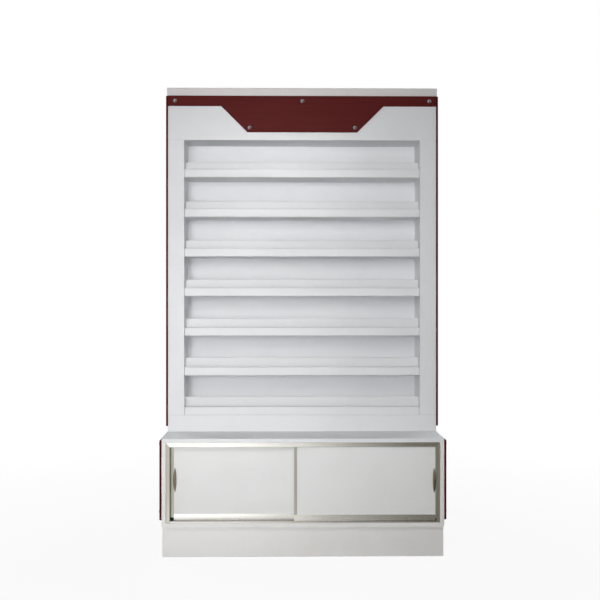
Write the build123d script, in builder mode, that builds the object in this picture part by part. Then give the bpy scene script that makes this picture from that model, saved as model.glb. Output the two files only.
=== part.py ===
"""Floor-standing shop display: a tower of stepped bottle shelves on a base cabinet with two sliding doors.

Millimetres. The front faces -Y, +Z is up, and the origin is on the floor under the middle of the stand.
"""

import os

from build123d import *

# Carcass boards
carcass_width = 1060.0
board = 15.0
back_thickness = 6.0
eased_edge = 0.8

# Plinth
plinth_height = 115.0
plinth_setback = 18.0
plinth_inset = 1.0

# Base cabinet
door_opening_height = 302.0
tower_setback = 200.0
counter_round = 2.0
cabinet_corner_round = 6.0

# Face frame of the tower
frame_thickness = 16.0
stile_width = 64.0
bottom_rail_height = 65.0
top_rail_height = 174.0

# Cap of the tower
cap_height = 33.0
cap_overhang = 4.0
cap_round = 3.5

# Recess and shelves
wall_thickness = 12.0
shelf_count = 7
shelf_pitch = 156.5
top_bay_height = 147.0
shelf_thickness = 11.0
lip_height = 33.0
lip_thickness = 14.0
lip_proud = 1.5
lip_end_gap = 1.0
lip_round = 2.5
front_tier_depth = 46.0
riser_thickness = 10.0
riser_rise = 34.5
riser_round = 2.0
deck_thickness = 10.0
deck_drop = 22.0
back_tier_depth = 90.5

# Dark red panels
panel_board = 8.0
panel_chamfer = 1.2
tower_panel_bottom_gap = 22.0
base_panel_top_gap = 6.0
base_panel_bottom_gap = 28.0
header_band = 40.0
header_centre_drop = 143.0
header_tongue_half = 217.0
header_slope_run = 104.0

# Dome screws
screw_head_radius = 7.5
screw_head_height = 3.5
screw_shank_radius = 2.5
screw_length = 19.0
screw_hole_clearance = 0.25
header_screw_inset = 28.0
header_screw_drop = 20.0
header_tongue_screw_inset = 9.0
header_tongue_screw_rise = 18.0
side_screw_inset = 16.0
side_screw_top_drop = 14.0
side_screw_bottom_rise = 30.0

# Aluminium door frame
track_fin = 2.0
track_web = 2.0
track_channel = 14.0
top_track_height = 17.0
bottom_track_height = 6.0
jamb_width = 14.0

# Sliding doors
door_overlap = 68.0
left_door_ajar = 10.0
door_depth = 11.0
door_stile = 11.0
door_panel = 5.0
slot_clearance = 0.1
slot_depth = 8.0
panel_slack = 0.5
door_top_clearance = 4.0
shoe_height = 23.2
shoe_lift = 4.0
shoe_web = 3.0
shoe_runner_slot = 7.0
glide_height = 14.0
glide_nose = 4.0
glide_nose_round = 3.0
glide_tongue = 34.0
glide_clearance = 0.2
buffer_clearance = 0.3

# Bow pulls
pull_length = 92.0
pull_width = 12.5
pull_tip = 4.0
pull_projection = 12.0
pull_thickness = 3.2
pull_foot = 7.0
pull_gap = 2.4
pull_passing = 2.0
pull_shy = 0.5

# Widths
half = carcass_width / 2
side_inner = half - board
recess_half = half - stile_width
panel_outer = half + panel_board

# Heights
cabinet_floor = plinth_height + board
counter_bottom = cabinet_floor + door_opening_height
counter_top = counter_bottom + board
recess_bottom = counter_top + bottom_rail_height
shelf_levels = [recess_bottom + shelf_pitch * number for number in range(shelf_count)]
recess_top = shelf_levels[-1] + top_bay_height
header_top = recess_top + top_rail_height
riser_height = lip_height + riser_rise - shelf_thickness
deck_top = lip_height + riser_rise - deck_drop

# Depths
recess_depth = lip_thickness - lip_proud + front_tier_depth + riser_thickness + back_tier_depth
base_depth = tower_setback + recess_depth + back_thickness
front = -base_depth / 2
back = base_depth / 2
back_face = back - back_thickness
tower_front = front + tower_setback
frame_back = tower_front + frame_thickness
lip_front = tower_front - lip_proud
lip_back = lip_front + lip_thickness
riser_front = lip_back + front_tier_depth
riser_back = riser_front + riser_thickness

# Door frame: the rib between the channels lets the rear door's pull pass behind the front door
track_rib = pull_projection + pull_passing + door_panel / 2 + door_depth / 2 - track_channel
track_recess = pull_projection + pull_shy + door_panel / 2 - track_fin - track_channel / 2
track_front = front + track_recess
front_channel = track_front + track_fin + track_channel / 2
rear_channel = front_channel + track_channel + track_rib
rib_middle = (front_channel + rear_channel) / 2
track_back = rear_channel + track_channel / 2 + track_fin
track_middle = (track_front + track_back) / 2
track_depth = track_back - track_front
track_floor = cabinet_floor + track_web
track_end = side_inner - jamb_width
top_track_lip = counter_bottom - top_track_height

# Doors: each one's outer edge stands off its jamb by the nose of its glide
closed_edge = side_inner - track_web - buffer_clearance - glide_nose
door_width = closed_edge + door_overlap / 2
door_top = counter_bottom - track_web - door_top_clearance
shoe_bottom = track_floor + shoe_lift
shoe_top = shoe_bottom + shoe_height
shoe_slot_bottom = shoe_top - slot_depth
shoe_web_bottom = shoe_slot_bottom - shoe_web
glide_bottom = track_floor + glide_clearance
glide_top = glide_bottom + glide_height
pull_height = (shoe_top + top_track_lip) / 2
pull_inset = door_stile + pull_gap + pull_tip / 2
panel_slot = door_panel + 2 * slot_clearance


def middle(span):
    """Halfway between the two ends of a span."""
    return (span[0] + span[1]) / 2


def length(span):
    """The distance from one end of a span to the other."""
    return span[1] - span[0]


def handed(side, near, far):
    """The span of X between two distances from the middle, on the left (-1) or the right (1)."""
    return tuple(sorted((side * near, side * far)))


def towards(side):
    """The axis that points out of the stand on the left (-1) or the right (1)."""
    return Axis((0, 0, 0), (side, 0, 0))


def save(piece, name):
    """Name a finished piece and write it out."""
    piece.part.label = name
    export_step(piece.part, f"parts/{name}.step")


def make_board(name, x, y, z, eased=True):
    """A flat board between two faces on each axis, with eased edges where they show."""
    with BuildPart() as flat_board:
        with BuildSketch(Plane.XY.offset(z[0])):
            with Locations((middle(x), middle(y))):
                Rectangle(length(x), length(y))
        extrude(amount=length(z))
        if eased:
            chamfer(flat_board.edges(), length=eased_edge)
    save(flat_board, name)


def make_profile(name, plane, fin_height, run, cuts):
    """A twin-channel extrusion: three fins on a web, with local X along the stand's depth."""
    with BuildPart() as profile:
        with BuildSketch(plane):
            with Locations((track_middle, track_web / 2)):
                Rectangle(track_depth, track_web)
            for fin_middle in (track_front + track_fin / 2, track_back - track_fin / 2):
                with Locations((fin_middle, fin_height / 2)):
                    Rectangle(track_fin, fin_height)
            with Locations((rib_middle, fin_height / 2)):
                Rectangle(track_rib, fin_height)
        extrude(amount=run)
        for cut, kept in cuts:
            split(bisect_by=cut, keep=kept)
    save(profile, name)


def mitre(side):
    """The cut across a top corner of the door frame, facing the top track."""
    return Plane(
        origin=(side * side_inner, 0, counter_bottom),
        x_dir=(0, 1, 0),
        z_dir=(-side * top_track_height, 0, jamb_width),
    )


os.makedirs("parts", exist_ok=True)

# Plinth
plinth_half = half - plinth_inset
plinth_front_span = (front + plinth_setback, front + plinth_setback + board)
plinth_back_span = (back - board, back)
make_board("plinth_front", (-plinth_half, plinth_half), plinth_front_span, (0, plinth_height))
make_board("plinth_back", (-plinth_half, plinth_half), plinth_back_span, (0, plinth_height), eased=False)
with BuildPart() as plinth_sides:
    with BuildSketch():
        with Locations((plinth_half - board / 2, middle((plinth_front_span[1], plinth_back_span[0])))):
            Rectangle(board, plinth_back_span[0] - plinth_front_span[1])
    extrude(amount=plinth_height)
    mirror(about=Plane.YZ)
save(plinth_sides, "plinth_sides")

# Base cabinet: the floor's lower corners are rounded at both ends, and the counter's front edge all along
with BuildPart() as base_floor:
    with BuildSketch(Plane.XY.offset(plinth_height)):
        with Locations((0, middle((front, back_face)))):
            Rectangle(carcass_width, back_face - front)
    extrude(amount=board)
    fillet(base_floor.edges().filter_by(Axis.Y).group_by(Axis.Z)[0], radius=cabinet_corner_round)
save(base_floor, "base_floor")

with BuildPart() as base_counter:
    with BuildSketch(Plane.XY.offset(counter_bottom)):
        Rectangle(carcass_width, base_depth)
    extrude(amount=board)
    fillet(base_counter.faces().sort_by(Axis.Y)[0].edges(), radius=counter_round)
save(base_counter, "base_counter")

make_board("base_back", (-half, half), (back_face, back), (plinth_height, counter_bottom), eased=False)

# Holes for the dome screws: depth and height on the sides, width and height on the header
base_panel_span = (plinth_height + base_panel_bottom_gap, counter_top - base_panel_top_gap)
side_screw_spots = [
    (depth, height)
    for depth in (front + side_screw_inset, back - side_screw_inset)
    for height in (base_panel_span[0] + side_screw_bottom_rise, base_panel_span[1] - side_screw_top_drop)
]
header_bottom = header_top - header_centre_drop
band_screw_across = half - header_screw_inset
tongue_screw_across = header_tongue_half - header_tongue_screw_inset
header_screw_spots = [
    *[(across, header_top - header_screw_drop) for across in (-band_screw_across, 0, band_screw_across)],
    *[(side * tongue_screw_across, header_bottom + header_tongue_screw_rise) for side in (-1, 1)],
]
screw_hole = screw_shank_radius + screw_hole_clearance

for side, hand in ((-1, "left"), (1, "right")):
    outward = Plane(origin=(side * side_inner, 0, 0), x_dir=(0, 1, 0), z_dir=(1, 0, 0))
    with BuildPart() as base_side:
        with BuildSketch(outward):
            with Locations((middle((front, back_face)), middle((cabinet_floor, counter_bottom)))):
                Rectangle(back_face - front, door_opening_height)
            with Locations(*side_screw_spots):
                Circle(screw_hole, mode=Mode.SUBTRACT)
        extrude(amount=side * board)
        chamfer(base_side.edges().filter_by(GeomType.LINE), length=eased_edge)
    save(base_side, f"base_side_{hand}")

    with BuildPart() as base_panel:
        with BuildSketch(outward.offset(side * board)):
            with Locations((0, middle(base_panel_span))):
                Rectangle(base_depth, length(base_panel_span))
            with Locations(*side_screw_spots):
                Circle(screw_hole, mode=Mode.SUBTRACT)
        extrude(amount=side * panel_board)
        chamfer(base_panel.faces().sort_by(towards(side))[-1].outer_wire().edges(), length=panel_chamfer)
    save(base_panel, f"base_panel_{hand}")

# Tower carcass
inside_depth = (frame_back, back_face)
for side, hand in ((-1, "left"), (1, "right")):
    tower_side = handed(side, side_inner, half)
    make_board(f"tower_side_{hand}", tower_side, inside_depth, (counter_top, header_top), eased=False)
    recess_wall = handed(side, recess_half, recess_half + wall_thickness)
    make_board(f"recess_wall_{hand}", recess_wall, inside_depth, (counter_top, recess_top), eased=False)
    frame_stile = handed(side, recess_half, half)
    make_board(f"frame_stile_{hand}", frame_stile, (tower_front, frame_back), (recess_bottom, recess_top))
make_board("frame_bottom_rail", (-half, half), (tower_front, frame_back), (counter_top, recess_bottom))
carcass_inside = (-side_inner, side_inner)
make_board("recess_ceiling", carcass_inside, inside_depth, (recess_top, recess_top + board), eased=False)
make_board("tower_back", (-half, half), (back_face, back), (counter_top, header_top), eased=False)

# Cap: it lies on the carcass and reaches over half the thickness of the side panels
with BuildPart() as cap:
    with BuildSketch(Plane.XY.offset(header_top)):
        with Locations((0, middle((tower_front, back)))):
            Rectangle(2 * (half + cap_overhang), back - tower_front)
    extrude(amount=cap_height)
    fillet(cap.faces().sort_by(Axis.Z)[-1].edges(), radius=cap_round)
save(cap, "tower_top")

# Seen from the front: local X runs to the right and local Y up
tower_face = Plane(origin=(0, tower_front, 0), x_dir=(1, 0, 0), z_dir=(0, -1, 0))
with BuildPart() as frame_top_rail:
    with BuildSketch(tower_face):
        with Locations((0, middle((recess_top, header_top)))):
            Rectangle(carcass_width, top_rail_height)
        with Locations(*header_screw_spots):
            Circle(screw_hole, mode=Mode.SUBTRACT)
    extrude(amount=-frame_thickness)
    chamfer(frame_top_rail.edges().filter_by(GeomType.LINE), length=eased_edge)
save(frame_top_rail, "frame_top_rail")

# Header: a narrow band with a wide tongue that slopes in towards its lower edge
header_outline = (
    (-half, header_top),
    (-half, header_top - header_band),
    (-header_tongue_half - header_slope_run, header_top - header_band),
    (-header_tongue_half, header_bottom),
    (header_tongue_half, header_bottom),
    (header_tongue_half + header_slope_run, header_top - header_band),
    (half, header_top - header_band),
    (half, header_top),
)
with BuildPart() as header_panel:
    with BuildSketch(tower_face):
        with BuildLine():
            Polyline(*header_outline, close=True)
        make_face()
        with Locations(*header_screw_spots):
            Circle(screw_hole, mode=Mode.SUBTRACT)
    extrude(amount=panel_board)
    chamfer(header_panel.faces().sort_by(Axis.Y)[0].outer_wire().edges(), length=panel_chamfer)
save(header_panel, "header_panel")

tower_panel_span = (counter_top + tower_panel_bottom_gap, header_top)
for side, hand in ((-1, "left"), (1, "right")):
    with BuildPart() as tower_panel:
        with BuildSketch(Plane.XY.offset(tower_panel_span[0])):
            with Locations((side * (half + panel_board / 2), middle((tower_front, back)))):
                Rectangle(panel_board, back - tower_front)
        extrude(amount=length(tower_panel_span))
        chamfer(tower_panel.faces().sort_by(towards(side))[-1].edges(), length=panel_chamfer)
    save(tower_panel, f"tower_panel_{hand}")

# Dome screws: one is turned about its own axis, then set in every hole
with BuildPart() as dome_screw:
    with BuildSketch(Plane.XZ):
        with BuildLine():
            Polyline(
                (0, screw_head_height),
                (0, -screw_length),
                (screw_shank_radius, -screw_length),
                (screw_shank_radius, 0),
                (screw_head_radius, 0),
            )
            TangentArc((0, screw_head_height), (screw_head_radius, 0), tangent=(1, 0))
        make_face()
    revolve(axis=Axis.Z)

with BuildPart() as header_screws:
    with Locations(*[
        Plane(origin=(across, tower_front - panel_board, height), z_dir=(0, -1, 0))
        for across, height in header_screw_spots
    ]):
        add(dome_screw.part)
save(header_screws, "header_screws")

with BuildPart() as side_screws:
    with Locations(*[
        Plane(origin=(side * panel_outer, depth, height), z_dir=(side, 0, 0))
        for side in (-1, 1)
        for depth, height in side_screw_spots
    ]):
        add(dome_screw.part)
save(side_screws, "side_screws")

# Shelves: a board with a front lip, and on it a riser that carries the deck of the back tier
for number, level in enumerate(shelf_levels, start=1):
    shelf_across = (-recess_half, recess_half)
    shelf_height = (level, level + shelf_thickness)
    make_board(f"shelf_{number}_board", shelf_across, (lip_back, back_face), shelf_height, eased=False)
    with BuildPart() as shelf_lip:
        with BuildSketch(Plane.XY.offset(level)):
            with Locations((0, middle((lip_front, lip_back)))):
                Rectangle(2 * (recess_half - lip_end_gap), lip_thickness)
        extrude(amount=lip_height)
        fillet(shelf_lip.faces().sort_by(Axis.Y)[0].edges(), radius=lip_round)
    save(shelf_lip, f"shelf_{number}_lip")

with BuildPart() as riser:
    with BuildSketch(Plane.XY.offset(shelf_thickness)):
        with Locations((0, middle((riser_front, riser_back)))):
            Rectangle(2 * recess_half, riser_thickness)
    extrude(amount=riser_height)
    fillet(riser.edges().filter_by(Axis.X).group_by(Axis.Z)[-1], radius=riser_round)

with BuildPart() as step_risers:
    with Locations(*[(0, 0, level) for level in shelf_levels]):
        add(riser.part)
save(step_risers, "step_risers")

with BuildPart() as deck:
    with BuildSketch(Plane.XY.offset(deck_top)):
        with Locations((0, middle((riser_back, back_face)))):
            Rectangle(2 * recess_half, back_tier_depth)
    extrude(amount=-deck_thickness)

with BuildPart() as step_decks:
    with Locations(*[(0, 0, level) for level in shelf_levels]):
        add(deck.part)
save(step_decks, "step_decks")

# Door frame: the tracks lie along the width and the jambs stand, mitred into the top track
bottom_track_plane = Plane(origin=(-track_end, 0, cabinet_floor), x_dir=(0, 1, 0), z_dir=(1, 0, 0))
make_profile("track_bottom", bottom_track_plane, bottom_track_height, 2 * track_end, [])
top_track_plane = Plane(origin=(side_inner, 0, counter_bottom), x_dir=(0, 1, 0), z_dir=(-1, 0, 0))
top_track_cuts = [(mitre(-1), Keep.TOP), (mitre(1), Keep.TOP)]
make_profile("track_top", top_track_plane, top_track_height, 2 * side_inner, top_track_cuts)
left_jamb_plane = Plane(origin=(-side_inner, 0, counter_bottom), x_dir=(0, 1, 0), z_dir=(0, 0, -1))
make_profile("jamb_left", left_jamb_plane, jamb_width, door_opening_height, [(mitre(-1), Keep.BOTTOM)])
right_jamb_plane = Plane(origin=(side_inner, 0, cabinet_floor), x_dir=(0, 1, 0), z_dir=(0, 0, 1))
make_profile("jamb_right", right_jamb_plane, jamb_width, door_opening_height, [(mitre(1), Keep.BOTTOM)])


def make_door_stile(name, across, channel, heights, slot_side):
    """An upright edge profile of a door, with a slot for the panel on one side."""
    slot_across = middle(across) + slot_side * (door_stile - slot_depth) / 2
    with BuildPart() as door_profile:
        with BuildSketch(Plane.XY.offset(heights[0])):
            with Locations((middle(across), channel)):
                Rectangle(door_stile, door_depth)
            with Locations((slot_across, channel)):
                Rectangle(slot_depth, panel_slot, mode=Mode.SUBTRACT)
        extrude(amount=length(heights))
    save(door_profile, name)


def make_pull(name, across, panel_face):
    """A leaf-shaped bow pull whose two feet stand on the door panel."""
    ends = (pull_height - pull_length / 2, pull_height + pull_length / 2)
    feet = (ends[0] + pull_foot, ends[1] - pull_foot)
    bow = panel_face - pull_projection
    bow_back = bow + pull_thickness
    tip = pull_tip / 2
    with BuildPart() as pull:
        with BuildSketch(Plane.YZ.offset(across)):
            with BuildLine():
                ThreePointArc((panel_face, ends[0]), (bow, pull_height), (panel_face, ends[1]))
                Line((panel_face, ends[1]), (panel_face, feet[1]))
                ThreePointArc((panel_face, feet[1]), (bow_back, pull_height), (panel_face, feet[0]))
                Line((panel_face, feet[0]), (panel_face, ends[0]))
            make_face()
        extrude(amount=pull_width / 2, both=True)
        with BuildSketch(Plane(origin=(across, panel_face, 0), x_dir=(1, 0, 0), z_dir=(0, -1, 0))):
            with BuildLine():
                Line((tip, ends[0]), (-tip, ends[0]))
                ThreePointArc((-tip, ends[0]), (-pull_width / 2, pull_height), (-tip, ends[1]))
                Line((-tip, ends[1]), (tip, ends[1]))
                ThreePointArc((tip, ends[1]), (pull_width / 2, pull_height), (tip, ends[0]))
            make_face()
        extrude(amount=pull_projection, mode=Mode.INTERSECT)
    save(pull, name)


def make_door(hand, side, channel, outer_edge):
    """One sliding door, from its outer edge towards the middle of the cabinet."""

    def inward(near, far):
        """The span of X between two distances from the door's outer edge."""
        return tuple(sorted((outer_edge - side * near, outer_edge - side * far)))

    outer_span = inward(0, door_stile)
    make_door_stile(f"{hand}_door_outer_stile", outer_span, channel, (glide_top, door_top), -side)
    inner_span = inward(door_width - door_stile, door_width)
    make_door_stile(f"{hand}_door_inner_stile", inner_span, channel, (shoe_top, door_top), side)

    slot_end = door_stile - slot_depth + panel_slack
    panel_span = inward(slot_end, door_width - slot_end)
    panel_depth = (channel - door_panel / 2, channel + door_panel / 2)
    make_board(f"{hand}_door_panel", panel_span, panel_depth, (shoe_slot_bottom, door_top))
    make_pull(f"{hand}_door_pull", middle(inward(pull_inset, pull_inset)), panel_depth[0])

    shoe_span = inward(door_stile, door_width)
    with BuildPart() as shoe:
        with BuildSketch(Plane.YZ.offset(shoe_span[0])):
            with Locations((channel, middle((shoe_bottom, shoe_top)))):
                Rectangle(door_depth, shoe_height)
            with Locations((channel, middle((shoe_slot_bottom, shoe_top)))):
                Rectangle(panel_slot, slot_depth, mode=Mode.SUBTRACT)
            with Locations((channel, middle((shoe_bottom, shoe_web_bottom)))):
                Rectangle(shoe_runner_slot, shoe_web_bottom - shoe_bottom, mode=Mode.SUBTRACT)
        extrude(amount=length(shoe_span))
    save(shoe, f"{hand}_door_shoe")

    door_face = Plane(origin=(0, channel, 0), x_dir=(1, 0, 0), z_dir=(0, -1, 0))
    tongue_half_width = shoe_runner_slot / 2 - slot_clearance
    tongue_height = shoe_web_bottom - glide_bottom
    block_span = inward(-glide_nose, door_stile)
    tongue_span = inward(door_stile, door_stile + glide_tongue)
    with BuildPart() as outer_glide:
        with BuildSketch(door_face):
            with Locations((middle(block_span), middle((glide_bottom, glide_top)))):
                Rectangle(length(block_span), glide_height)
        extrude(amount=door_depth / 2, both=True)
        fillet(outer_glide.edges().filter_by(Axis.Z).group_by(towards(side))[-1], radius=glide_nose_round)
        with BuildSketch(door_face):
            with Locations((middle(tongue_span), middle((glide_bottom, shoe_web_bottom)))):
                Rectangle(glide_tongue, tongue_height)
        extrude(amount=tongue_half_width, both=True)
    save(outer_glide, f"{hand}_door_outer_glide")

    inner_glide_span = inward(door_width - glide_tongue, door_width)
    tongue_depth = (channel - tongue_half_width, channel + tongue_half_width)
    inner_glide_height = (glide_bottom, shoe_web_bottom)
    make_board(f"{hand}_door_inner_glide", inner_glide_span, tongue_depth, inner_glide_height, eased=False)


make_door("left", -1, rear_channel, -closed_edge + left_door_ajar)
make_door("right", 1, front_channel, closed_edge)
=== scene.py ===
"""Finishes, small fixings, floor, light and camera for the shop display stand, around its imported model.

Metres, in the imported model's own frame: the front faces -Y, +Z is up and the floor is at zero.
"""

import math

import bpy
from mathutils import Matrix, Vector


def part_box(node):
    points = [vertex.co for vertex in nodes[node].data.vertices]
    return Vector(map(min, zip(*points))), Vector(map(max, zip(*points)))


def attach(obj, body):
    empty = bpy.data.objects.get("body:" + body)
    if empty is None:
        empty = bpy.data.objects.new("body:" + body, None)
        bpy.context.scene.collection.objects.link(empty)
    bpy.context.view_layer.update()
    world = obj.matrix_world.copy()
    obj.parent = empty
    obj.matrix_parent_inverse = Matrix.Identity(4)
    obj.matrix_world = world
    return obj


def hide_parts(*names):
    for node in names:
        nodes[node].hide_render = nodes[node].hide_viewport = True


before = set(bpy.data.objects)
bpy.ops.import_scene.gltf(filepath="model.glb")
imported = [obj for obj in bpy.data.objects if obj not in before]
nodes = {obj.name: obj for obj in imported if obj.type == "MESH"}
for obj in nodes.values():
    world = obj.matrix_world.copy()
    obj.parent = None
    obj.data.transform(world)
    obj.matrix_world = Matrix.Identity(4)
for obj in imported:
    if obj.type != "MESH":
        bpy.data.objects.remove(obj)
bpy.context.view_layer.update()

# Camera: its place, its lens and sensor width in millimetres, and its turn about the vertical in radians
CAMERA_PLACE = (-0.0655, -3.791, 0.9664)
CAMERA_LENS = 57.8
CAMERA_SENSOR = 36.0
CAMERA_TURN = -0.0148

# Lamps: place, aim, width, power in watts and beam in degrees; the ambient light is the world's strength
LAMPS = {
    "key": dict(place=(-1.0, -4.5, 1.3), aim=(-0.45, 0.0, 1.0), width=0.7, power=5.5, beam=60.0),
    "fill": dict(place=(-0.08, -1.8, 1.56), aim=(0.0, 0.0, 0.95), width=0.5, power=9.8, beam=180.0),
    "top": dict(place=(-0.3, -2.4, 1.5), aim=(-0.12, 0.0, 1.52), width=0.2, power=0.075, beam=18.0),
    "low": dict(place=(-0.4, -2.2, 0.6), aim=(-0.35, 0.0, 0.35), width=0.7, power=2.1, beam=80.0),
    "rear_left": dict(place=(-2.6, 2.4, 3.2), aim=(0.0, 0.0, 0.9), width=1.6, power=46.0, beam=180.0),
    "rear_right": dict(place=(2.6, 2.4, 3.2), aim=(0.0, 0.0, 0.9), width=1.6, power=46.0, beam=180.0),
}
AMBIENT = 0.135

# Graded cards for the metal to mirror: their edges, and their tones, each with its place from left to right
CARD_PLACE = -1.2
CARD_ACROSS = (-0.9, 3.0)
CARD_TOP = 3.0
CARD_FOOT = -0.2
CARD_LIFT = 0.003
CARD_TONES = ((-0.42, (1.0, 1.0, 1.0, 1.0)), (0.56, (0.16, 0.15, 0.125, 1.0)))
FOOT_TONES = (
    (-0.25, (1.2, 1.2, 1.2, 1.0)),
    (0.11, (0.41, 0.40, 0.37, 1.0)),
    (0.60, (0.17, 0.16, 0.135, 1.0)),
)

# Floor: half its width, its colour, and the white veil over it near the stand, which thickens with distance
FLOOR_HALF = 14.0
FLOOR_PALE = (0.7, 0.7, 0.7, 1.0)
FLOOR_VEIL = 0.92
FLOOR_FADE = (0.9, 2.6)

# Bow pulls; the dome takes no more than its share of the thickness
PULL_TIP_WIDTH = 0.001
PULL_FOOT_LENGTH = 0.007
PULL_THICKNESS = 0.0032
PULL_DOME_HEIGHT = 0.0026
PULL_DOME_SHARE = 0.8
PULL_LEAST_HEIGHT = 0.0003
PULL_STATIONS = 40
PULL_FACETS = 12

# Pins that hold the back panels
PIN_INSET = 0.0075
PIN_SPACING = 0.15
PIN_RADIUS = 0.0026
PIN_TOP_RADIUS = 0.00182
PIN_RISE = 0.0002
PIN_SIDES = 10

# Angle from which an edge of an added piece is sharp, in degrees
SHARP_ANGLE = 40.0

# Colours, as they render in plain light
WHITE_BOARD = (0.832, 0.843, 0.857, 1.0)
WHITE_BOARD_MARKED = (0.805, 0.813, 0.823, 1.0)
CAP_WHITE = (0.83, 0.79, 0.797, 1.0)
CAP_WHITE_MARKED = (0.80, 0.765, 0.772, 1.0)
BASE_WHITE = (0.868, 0.866, 0.852, 1.0)
BASE_WHITE_MARKED = (0.832, 0.829, 0.814, 1.0)
PLINTH_WHITE = (0.84, 0.835, 0.82, 1.0)
PLINTH_WHITE_MARKED = (0.80, 0.79, 0.77, 1.0)
WHITE_EDGE = (0.70, 0.70, 0.69, 1.0)
HARDBOARD = (0.895, 0.905, 0.925, 1.0)
HARDBOARD_MARKED = (0.86, 0.87, 0.89, 1.0)
DOOR_WHITE = (0.84, 0.845, 0.84, 1.0)
DOOR_WHITE_MARKED = (0.81, 0.81, 0.805, 1.0)
DARK_RED = (0.118, 0.015, 0.014, 1.0)
DARK_RED_GRAIN = (0.102, 0.0125, 0.0115, 1.0)
DARK_RED_EDGE = (0.092, 0.003, 0.0025, 1.0)
ALUMINIUM = (0.87, 0.862, 0.82, 1.0)
ALUMINIUM_DULL = (0.75, 0.74, 0.695, 1.0)
# Darker copies of the same aluminium for the uprights: painted shade for the dimmer light they mirror
SHADED_UPRIGHT_ALUMINIUM = (0.60, 0.58, 0.51, 1.0)
SHADED_UPRIGHT_ALUMINIUM_DULL = (0.52, 0.50, 0.435, 1.0)
# Darker copy of the same aluminium for the bottom track: painted shade
SHADED_TRACK_ALUMINIUM = (0.66, 0.652, 0.62, 1.0)
SHADED_TRACK_ALUMINIUM_DULL = (0.57, 0.562, 0.527, 1.0)
# Painted shade on the level faces of the bottom track, in its channels and on its ledges
LEVEL_FACE_PAINTED_SHADE = (0.22, 0.21, 0.18, 1.0)
NICKEL = (0.29, 0.25, 0.19, 1.0)
NICKEL_DULL = (0.20, 0.175, 0.13, 1.0)
CHROME = (0.27, 0.275, 0.285, 1.0)
CHROME_DULL = (0.13, 0.133, 0.14, 1.0)
NYLON = (0.008, 0.008, 0.008, 1.0)
NYLON_WORN = (0.02, 0.02, 0.02, 1.0)
ZINC = (0.46, 0.46, 0.45, 1.0)
ZINC_DULL = (0.33, 0.33, 0.31, 1.0)

# Roughness, from the smoothest to the roughest place of a surface
BOARD_ROUGH = (0.36, 0.50)
SATIN_ROUGH = (0.40, 0.54)
BACK_ROUGH = (0.50, 0.62)
DOOR_ROUGH = (0.28, 0.40)
LEVEL_ROUGH = (0.20, 0.30)
UPRIGHT_ROUGH = (0.26, 0.36)
NICKEL_ROUGH = (0.38, 0.50)
CHROME_ROUGH = (0.05, 0.12)
ZINC_ROUGH = (0.30, 0.45)
NYLON_ROUGH = (0.42, 0.60)

# Grain and streaks: lumps to the metre, along each axis where they differ
BOARD_GRAIN = 1300.0
BACK_GRAIN = 900.0
DOOR_GRAIN = 1800.0
LEVEL_GRAIN = (5.0, 160.0, 160.0)
UPRIGHT_GRAIN = (160.0, 160.0, 5.0)
LEVEL_STREAKS = (2.5, 700.0, 700.0)
UPRIGHT_STREAKS = (700.0, 700.0, 2.5)
PULL_STREAKS = (900.0, 900.0, 12.0)

# Wear along the edges, by its width, and relief, by its depth
BOARD_WEAR = 0.0022
METAL_WEAR = 0.0012
NYLON_WEAR = 0.0015
BOARD_RELIEF = 0.00012
PANEL_RELIEF = 0.00010
STREAK_RELIEF = 0.00005
FILM_RELIEF = 0.00003
NYLON_RELIEF = 0.00010

# Shader settings: gloss of the dark red panels and the nylon, and how far brushing stretches a highlight
PANEL_SPECULAR = 0.05
NYLON_SPECULAR = 0.25
BRUSHED_STRETCH = 0.9

# Ranges: where most of a noise lies, and the cosines that tell edges from open faces and faces from sides
NOISE_MIDDLE = (0.3, 0.7)
EDGE_COSINES = (0.995, 0.85)
FACE_COSINES = (0.80, 0.95)

# Samples that find the edges of a piece
BEVEL_SAMPLES = 4


def where_seen(tree):
    """1 where a thing is seen, straight, mirrored or through glass, and 0 where it only gives light."""
    path = tree.nodes.new("ShaderNodeLightPath")
    seen = path.outputs["Is Camera Ray"]
    for other in ("Is Glossy Ray", "Is Transmission Ray"):
        either = tree.nodes.new("ShaderNodeMath")
        either.operation = "MAXIMUM"
        tree.links.new(seen, either.inputs[0])
        tree.links.new(path.outputs[other], either.inputs[1])
        seen = either.outputs["Value"]
    return seen


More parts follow.
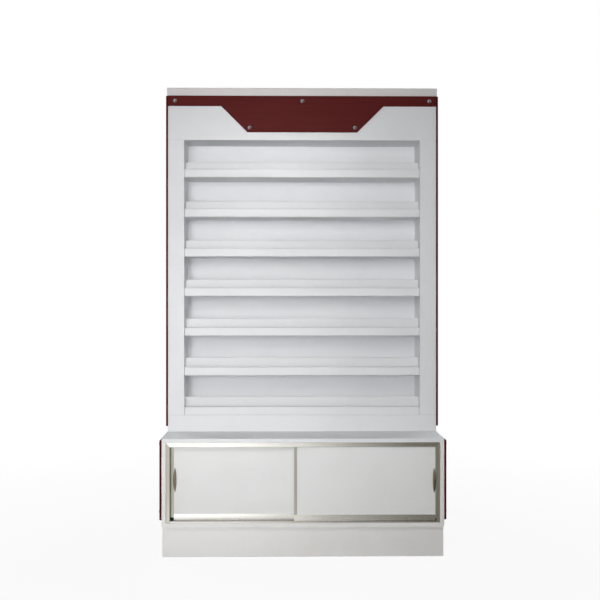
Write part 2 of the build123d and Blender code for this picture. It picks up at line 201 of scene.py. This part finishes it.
class Finish:
    """A material being built: its nodes and links, with object coordinates in metres."""

    def __init__(self, name):
        self.material = bpy.data.materials.new(name)
        self.material.use_nodes = True
        self.tree = self.material.node_tree
        self.shader = self.tree.nodes["Principled BSDF"]
        self.place = self.add("ShaderNodeTexCoord").outputs["Object"]

    def add(self, kind, **settings):
        """A new node with these settings."""
        node = self.tree.nodes.new(kind)
        for name, value in settings.items():
            setattr(node, name, value)
        return node

    def link(self, source, target):
        """A link from an output to an input."""
        self.tree.links.new(source, target)

    def stretched(self, scale):
        """Object coordinates, scaled by a different amount along each axis."""
        mapping = self.add("ShaderNodeMapping")
        mapping.inputs["Scale"].default_value = scale
        self.link(self.place, mapping.inputs["Vector"])
        return mapping.outputs["Vector"]

    def noise(self, scale=1.0, detail=3.0, rough=0.5, where=None):
        """Smooth noise from 0 to 1, with this many lumps to the metre, or to a unit of other coordinates."""
        texture = self.add("ShaderNodeTexNoise")
        texture.inputs["Scale"].default_value = scale
        texture.inputs["Detail"].default_value = detail
        texture.inputs["Roughness"].default_value = rough
        self.link(where or self.place, texture.inputs["Vector"])
        return texture.outputs["Fac"]

    def spread(self, value, low, high, to_low=0.0, to_high=1.0):
        """A value taken from one range to another, held at the ends."""
        ramp = self.add("ShaderNodeMapRange")
        ramp.inputs["From Min"].default_value = low
        ramp.inputs["From Max"].default_value = high
        ramp.inputs["To Min"].default_value = to_low
        ramp.inputs["To Max"].default_value = to_high
        self.link(value, ramp.inputs["Value"])
        return ramp.outputs["Result"]

    def times(self, first, second):
        """The product of two values."""
        product = self.add("ShaderNodeMath", operation="MULTIPLY")
        self.link(first, product.inputs[0])
        self.link(second, product.inputs[1])
        return product.outputs["Value"]

    def mix(self, amount, first, second):
        """One colour turning into another; the first may be a socket."""
        blend = self.add("ShaderNodeMix", data_type="RGBA")
        self.link(amount, blend.inputs["Factor"])
        inputs = [socket for socket in blend.inputs if socket.type == "RGBA"]
        for socket, colour in zip(inputs, (first, second)):
            if isinstance(colour, tuple):
                socket.default_value = colour
            else:
                self.link(colour, socket)
        return next(socket for socket in blend.outputs if socket.type == "RGBA")

    def edges(self, width):
        """1 along the edges of the piece and 0 on its open faces."""
        rounded = self.add("ShaderNodeBevel", samples=BEVEL_SAMPLES)
        rounded.inputs["Radius"].default_value = width
        flat = self.add("ShaderNodeNewGeometry")
        likeness = self.add("ShaderNodeVectorMath", operation="DOT_PRODUCT")
        self.link(rounded.outputs["Normal"], likeness.inputs[0])
        self.link(flat.outputs["True Normal"], likeness.inputs[1])
        return self.spread(likeness.outputs["Value"], *EDGE_COSINES)

    def facing(self, axis, on_face=1.0, elsewhere=0.0):
        """One value on the faces that look along an axis, either way, and another elsewhere."""
        flat = self.add("ShaderNodeNewGeometry")
        along = self.add("ShaderNodeVectorMath", operation="DOT_PRODUCT")
        along.inputs[1].default_value = axis
        self.link(flat.outputs["True Normal"], along.inputs[0])
        size = self.add("ShaderNodeMath", operation="ABSOLUTE")
        self.link(along.outputs["Value"], size.inputs[0])
        return self.spread(size.outputs["Value"], *FACE_COSINES, elsewhere, on_face)

    def bump(self, height, depth, strength):
        """Relief of this depth, in metres, from a value between 0 and 1."""
        relief = self.add("ShaderNodeBump")
        relief.inputs["Strength"].default_value = strength
        relief.inputs["Distance"].default_value = depth
        self.link(height, relief.inputs["Height"])
        self.link(relief.outputs["Normal"], self.shader.inputs["Normal"])

    def finish(self, colour, noise, rough):
        """Connect the colour, and a roughness that follows a noise, and hand the material over."""
        self.link(colour, self.shader.inputs["Base Color"])
        self.link(self.spread(noise, *NOISE_MIDDLE, *rough), self.shader.inputs["Roughness"])
        return self.material

    def surface(self, shader):
        """Give the material another shader in place of its own, and hand it over."""
        self.tree.nodes.remove(self.shader)
        self.link(shader, self.tree.nodes["Material Output"].inputs["Surface"])
        return self.material


def board_finish(name, clean, marked, rough=BOARD_ROUGH, grain=BOARD_GRAIN):
    """White facing on a board: faint marks, a pearl grain and slightly dulled edges."""
    finish = Finish(name)
    marks = finish.spread(finish.noise(scale=3.2, detail=5.0, rough=0.6), low=0.42, high=0.72)
    colour = finish.mix(marks, clean, marked)
    patches = finish.spread(finish.noise(scale=26.0), low=0.35, high=0.65, to_low=0.25, to_high=0.9)
    worn = finish.times(finish.edges(BOARD_WEAR), patches)
    colour = finish.mix(worn, colour, WHITE_EDGE)
    finish.bump(finish.noise(scale=grain, detail=2.0), BOARD_RELIEF, strength=0.35)
    return finish.finish(colour, finish.noise(scale=14.0, detail=4.0), rough)


def panel_finish(name, face_axis, grain_scale):
    """Dark red laminate: a close grain along its length and a darker band on its edges."""
    finish = Finish(name)
    finish.shader.inputs["Specular IOR Level"].default_value = PANEL_SPECULAR
    grain = finish.noise(detail=6.0, rough=0.62, where=finish.stretched(grain_scale))
    colour = finish.mix(finish.spread(grain, low=0.36, high=0.66), DARK_RED, DARK_RED_GRAIN)
    cloud = finish.spread(finish.noise(scale=4.0), low=0.40, high=0.75, to_high=0.35)
    colour = finish.mix(cloud, colour, DARK_RED_GRAIN)
    band = finish.facing(face_axis, on_face=0.0, elsewhere=1.0)
    colour = finish.mix(band, colour, DARK_RED_EDGE)
    finish.bump(grain, PANEL_RELIEF, strength=0.4)
    return finish.finish(colour, finish.noise(scale=9.0, detail=5.0), SATIN_ROUGH)


def brushed_finish(name, bright, dull, streak_scale, tangent_axis, rough, painted_shade=None):
    """Brushed metal: streaks along the piece, which stretch its highlights across them, and painted shade on
    its level faces where one is given.
    """
    finish = Finish(name)
    finish.shader.inputs["Metallic"].default_value = 1.0
    finish.shader.inputs["Anisotropic"].default_value = BRUSHED_STRETCH
    across = finish.add("ShaderNodeTangent", direction_type="RADIAL", axis=tangent_axis)
    finish.link(across.outputs["Tangent"], finish.shader.inputs["Tangent"])
    streaks = finish.noise(detail=5.0, rough=0.65, where=finish.stretched(streak_scale))
    colour = finish.mix(finish.spread(streaks, low=0.35, high=0.68), bright, dull)
    patches = finish.spread(finish.noise(scale=60.0), low=0.45, high=0.6, to_high=0.6)
    scuffs = finish.times(finish.edges(METAL_WEAR), patches)
    colour = finish.mix(scuffs, colour, dull)
    # Painted shade: faces that look up or down are darkened
    if painted_shade:
        colour = finish.mix(finish.facing((0, 0, 1)), colour, painted_shade)
    finish.bump(streaks, STREAK_RELIEF, strength=0.3)
    return finish.finish(colour, streaks, rough)


def polished_finish(name, bright, dull, rough):
    """Plated metal with a film of finger marks."""
    finish = Finish(name)
    finish.shader.inputs["Metallic"].default_value = 1.0
    film = finish.noise(scale=180.0, detail=4.0)
    colour = finish.mix(finish.spread(film, low=0.45, high=0.75), bright, dull)
    finish.bump(finish.noise(scale=900.0), FILM_RELIEF, strength=0.2)
    return finish.finish(colour, film, rough)


def nylon_finish():
    """Moulded black nylon, rubbed a little paler on its corners."""
    finish = Finish("black_nylon")
    finish.shader.inputs["Specular IOR Level"].default_value = NYLON_SPECULAR
    patches = finish.spread(finish.noise(scale=120.0), low=0.4, high=0.65)
    rubbed = finish.times(finish.edges(NYLON_WEAR), patches)
    colour = finish.mix(rubbed, NYLON, NYLON_WORN)
    finish.bump(finish.noise(scale=1500.0, detail=2.0), NYLON_RELIEF, strength=0.4)
    return finish.finish(colour, finish.noise(scale=300.0), NYLON_ROUGH)


def dress(material, *names):
    """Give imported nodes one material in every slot."""
    for name in names:
        mesh = nodes[name].data
        mesh.materials.clear()
        mesh.materials.append(material)


def add_piece(name, points, faces, material, body):
    """A piece of the stand from its points and faces, smooth but for its sharp edges, riding on a body."""
    mesh = bpy.data.meshes.new(name)
    mesh.from_pydata(points, [], faces)
    mesh.shade_smooth()
    mesh.set_sharp_from_angle(angle=math.radians(SHARP_ANGLE))
    mesh.materials.append(material)
    piece = bpy.data.objects.new(name, mesh)
    bpy.context.scene.collection.objects.link(piece)
    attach(piece, body)
    return piece


def arc_height(along, reach, rise):
    """Height of an arc above its chord, this far from the chord's middle."""
    if abs(along) >= reach:
        return 0.0
    radius = (reach ** 2 + rise ** 2) / (2.0 * rise)
    return math.sqrt(radius ** 2 - along ** 2) - (radius - rise)


def pull_section(along, half, finger_room):
    """One closed section of a bow pull, across it and out from the door: a domed front and a flat back."""
    front = max(arc_height(along, half.z, 2.0 * half.y), PULL_LEAST_HEIGHT)
    back = arc_height(along, half.z - PULL_FOOT_LENGTH, finger_room)
    width = PULL_TIP_WIDTH / 2 + arc_height(along, half.z, half.x - PULL_TIP_WIDTH / 2)
    dome = min(PULL_DOME_HEIGHT, PULL_DOME_SHARE * (front - back))
    turns = [math.pi * step / PULL_FACETS for step in range(PULL_FACETS + 1)]
    section = [(-width * math.cos(turn), front - dome * (1.0 - math.sin(turn))) for turn in turns]
    return section + [(width, back), (-width, back)]


def fit_pull(hand, material):
    """A leaf-shaped bow pull with a rounded front, in the same box as the plain one that it stands for."""
    node = f"{hand}_door_pull"
    low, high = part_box(node)
    middle = (low + high) / 2
    half = (high - low) / 2
    finger_room = 2.0 * half.y - PULL_THICKNESS
    points = []
    for station in range(PULL_STATIONS + 1):
        along = half.z * math.sin(math.pi * (station / PULL_STATIONS - 0.5))
        for across, out in pull_section(along, half, finger_room):
            points.append((middle.x + across, high.y - out, middle.z + along))
    count = len(points) // (PULL_STATIONS + 1)
    faces = [tuple(range(count)), tuple(range(len(points) - 1, len(points) - count - 1, -1))]
    for station in range(PULL_STATIONS):
        start = station * count
        upper = start + count
        for corner in range(count):
            following = (corner + 1) % count
            faces.append((start + corner, upper + corner, upper + following, start + following))
    pull = add_piece(f"{hand}_bow_pull", points, faces, material, f"{hand}_door")
    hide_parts(node)


def evenly(low, high):
    """Places from one end to the other, about a pin's spacing apart."""
    spans = round((high - low) / PIN_SPACING)
    return [low + (high - low) * step / spans for step in range(spans + 1)]


def pin_places(low, high, rows):
    """Where pins hold a back panel, across and up: along its edges, and between them at the given heights."""
    left = low.x + PIN_INSET
    right = high.x - PIN_INSET
    bottom = low.z + PIN_INSET
    top = high.z - PIN_INSET
    places = [(x, z) for z in (bottom, top) for x in evenly(left, right)]
    places += [(x, z) for x in (left, right) for z in evenly(bottom, top)[1:-1]]
    places += [(x, z) for z in rows for x in evenly(left, right)[1:-1]]
    return places


def pin_head(start, x, y, z):
    """A flat pin head on a back panel: its points, and its faces with corners numbered from a start."""
    points = []
    for radius, rise in ((PIN_RADIUS, 0.0), (PIN_TOP_RADIUS, PIN_RISE)):
        for side in range(PIN_SIDES):
            turn = 2.0 * math.pi * side / PIN_SIDES
            points.append((x + radius * math.cos(turn), y + rise, z + radius * math.sin(turn)))
    upper = start + PIN_SIDES
    faces = [tuple(range(upper + PIN_SIDES - 1, upper - 1, -1))]
    for side in range(PIN_SIDES):
        following = (side + 1) % PIN_SIDES
        faces.append((start + following, start + side, upper + side, upper + following))
    return points, faces


def pin_backs(material):
    """Flat pin heads along the edges of both back panels, and along the shelves behind the tower's."""
    boards = sorted(name for name in nodes if name.startswith("shelf_") and name.endswith("_board"))
    shelves = [sum(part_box(name), Vector()).z / 2 for name in boards]
    for node, rows in (("base_back", []), ("tower_back", shelves)):
        low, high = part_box(node)
        points = []
        faces = []
        for x, z in pin_places(low, high, rows):
            head_points, head_faces = pin_head(len(points), x, high.y, z)
            points += head_points
            faces += head_faces
        add_piece(f"{node}_pins", points, faces, material, "stand")


def finish_boards():
    """The white finishes: plain boards on every node first, then those with a white of their own."""
    board = board_finish("white_board", WHITE_BOARD, WHITE_BOARD_MARKED)
    base = board_finish("white_base", BASE_WHITE, BASE_WHITE_MARKED)
    plinth = board_finish("white_plinth", PLINTH_WHITE, PLINTH_WHITE_MARKED, rough=SATIN_ROUGH)
    cap = board_finish("white_cap", CAP_WHITE, CAP_WHITE_MARKED, rough=SATIN_ROUGH)
    back = board_finish("white_back", HARDBOARD, HARDBOARD_MARKED, rough=BACK_ROUGH, grain=BACK_GRAIN)
    door = board_finish("white_door", DOOR_WHITE, DOOR_WHITE_MARKED, rough=DOOR_ROUGH, grain=DOOR_GRAIN)
    dress(board, *nodes)
    dress(base, "base_floor", "base_side_left", "base_side_right")
    dress(plinth, "plinth_front", "plinth_back", "plinth_sides")
    dress(cap, "tower_top")
    dress(back, "base_back", "tower_back")
    dress(door, "left_door_panel", "right_door_panel")


def finish_panels():
    """The dark red finishes, with the grain along each panel."""
    header = panel_finish("dark_red_header", (0, 1, 0), LEVEL_GRAIN)
    side = panel_finish("dark_red_side", (1, 0, 0), UPRIGHT_GRAIN)
    dress(header, "header_panel")
    dress(side, "tower_panel_left", "tower_panel_right", "base_panel_left", "base_panel_right")


def finish_door_metal():
    """The aluminium of the door frame and of the doors' edges, brushed along each piece; the uprights and the
    bottom track take darker copies of it, as painted shade.
    """
    level = brushed_finish("aluminium_level", ALUMINIUM, ALUMINIUM_DULL, LEVEL_STREAKS, "X", LEVEL_ROUGH)
    track = brushed_finish(
        "aluminium_track_shaded", SHADED_TRACK_ALUMINIUM, SHADED_TRACK_ALUMINIUM_DULL, LEVEL_STREAKS, "X", LEVEL_ROUGH,
        painted_shade=LEVEL_FACE_PAINTED_SHADE,
    )
    upright = brushed_finish(
        "aluminium_upright_shaded", SHADED_UPRIGHT_ALUMINIUM, SHADED_UPRIGHT_ALUMINIUM_DULL, UPRIGHT_STREAKS, "Z", UPRIGHT_ROUGH
    )
    dress(level, "track_top", "left_door_shoe", "right_door_shoe")
    dress(track, "track_bottom")
    dress(upright, "jamb_left", "jamb_right")
    for hand in ("left", "right"):
        dress(upright, f"{hand}_door_outer_stile", f"{hand}_door_inner_stile")


def finish_fittings():
    """The pulls, the glides, the screws, and the pins on the back."""
    nickel = brushed_finish("nickel_pull", NICKEL, NICKEL_DULL, PULL_STREAKS, "Z", NICKEL_ROUGH)
    chrome = polished_finish("chrome_screw", CHROME, CHROME_DULL, CHROME_ROUGH)
    nylon = nylon_finish()
    for hand in ("left", "right"):
        dress(nickel, f"{hand}_door_pull")
        fit_pull(hand, nickel)
        dress(nylon, f"{hand}_door_outer_glide", f"{hand}_door_inner_glide")
    dress(chrome, "header_screws", "side_screws")
    pin_backs(polished_finish("zinc_pin", ZINC, ZINC_DULL, ZINC_ROUGH))


def floor_finish():
    """Pale floor: white far off, and near the stand a light veil over the shadow that it takes."""
    finish = Finish("pale_floor")
    distance = finish.add("ShaderNodeVectorMath", operation="LENGTH")
    finish.link(finish.place, distance.inputs[0])
    veil = finish.spread(distance.outputs["Value"], *FLOOR_FADE, to_low=FLOOR_VEIL)
    pale = finish.add("ShaderNodeBsdfDiffuse")
    pale.inputs["Color"].default_value = FLOOR_PALE
    white = finish.add("ShaderNodeEmission")
    blend = finish.add("ShaderNodeMixShader")
    finish.link(finish.times(where_seen(finish.tree), veil), blend.inputs["Fac"])
    finish.link(pale.outputs["BSDF"], blend.inputs[1])
    finish.link(white.outputs["Emission"], blend.inputs[2])
    return finish.surface(blend.outputs["Shader"])


def lay_floor():
    """A plain pale floor under the stand."""
    mesh = bpy.data.meshes.new("floor")
    corners = [(-1, -1), (1, -1), (1, 1), (-1, 1)]
    mesh.from_pydata([(FLOOR_HALF * x, FLOOR_HALF * y, 0.0) for x, y in corners], [], [(0, 1, 2, 3)])
    mesh.materials.append(floor_finish())
    floor = bpy.data.objects.new("floor", mesh)
    bpy.context.scene.collection.objects.link(floor)


def card_finish(name, tones):
    """A glow that goes from tone to tone across the card."""
    finish = Finish(name)
    across = finish.add("ShaderNodeSeparateXYZ")
    finish.link(finish.place, across.inputs["Vector"])
    shade = tones[0][1]
    for (start, _), (end, tone) in zip(tones, tones[1:]):
        shade = finish.mix(finish.spread(across.outputs["X"], start, end), shade, tone)
    glow = finish.add("ShaderNodeEmission")
    finish.link(shade, glow.inputs["Color"])
    return finish.surface(glow.outputs["Emission"])


def add_card(name, near, far, tones):
    """A graded card from one line across the stand to another, white on the left and dark on the right."""
    mesh = bpy.data.meshes.new(name)
    corners = [(x, y, z) for y, z in (near, far) for x in CARD_ACROSS]
    mesh.from_pydata(corners, [], [(0, 1, 3, 2)])
    mesh.materials.append(card_finish(f"graded_{name}", tones))
    card = bpy.data.objects.new(name, mesh)
    card.visible_camera = False
    card.visible_diffuse = False
    card.visible_shadow = False
    bpy.context.scene.collection.objects.link(card)


def stand_cards():
    """An upright card before the stand and one on the floor at its foot, seen by reflections only."""
    bend = (CARD_PLACE, CARD_LIFT)
    add_card("card", bend, (CARD_PLACE, CARD_TOP), CARD_TONES)
    add_card("card_foot", (CARD_FOOT, CARD_LIFT), bend, FOOT_TONES)


def add_lamp(name, place, aim, width, power, beam):
    """A soft square lamp that the camera doesn't see."""
    lamp = bpy.data.lights.new(name, "AREA")
    lamp.size = width
    lamp.energy = power
    lamp.spread = math.radians(beam)
    holder = bpy.data.objects.new(name, lamp)
    holder.location = place
    holder.rotation_euler = (Vector(aim) - Vector(place)).to_track_quat("-Z", "Y").to_euler()
    holder.visible_camera = False
    bpy.context.scene.collection.objects.link(holder)


def light_scene():
    """The lamps, and a world that is white where it is seen and gives an even, weaker light."""
    for name, settings in LAMPS.items():
        add_lamp(name, **settings)
    world = bpy.data.worlds.new("studio")
    world.use_nodes = True
    tree = world.node_tree
    background = tree.nodes["Background"]
    background.inputs["Color"].default_value = (1.0, 1.0, 1.0, 1.0)
    level = tree.nodes.new("ShaderNodeMapRange")
    level.inputs["To Min"].default_value = AMBIENT
    tree.links.new(where_seen(tree), level.inputs["Value"])
    tree.links.new(level.outputs["Result"], background.inputs["Strength"])
    bpy.context.scene.world = world


def place_camera():
    """The photograph's view: level, at chest height, a little left of the middle."""
    camera = bpy.data.cameras.new("camera")
    camera.lens = CAMERA_LENS
    camera.sensor_width = CAMERA_SENSOR
    holder = bpy.data.objects.new("camera", camera)
    holder.location = CAMERA_PLACE
    holder.rotation_euler = (math.pi / 2, 0.0, CAMERA_TURN)
    bpy.context.scene.collection.objects.link(holder)
    bpy.context.scene.camera = holder


finish_boards()
finish_panels()
finish_door_metal()
finish_fittings()
lay_floor()
stand_cards()
light_scene()
place_camera()
bpy.context.scene.view_settings.view_transform = "Standard"
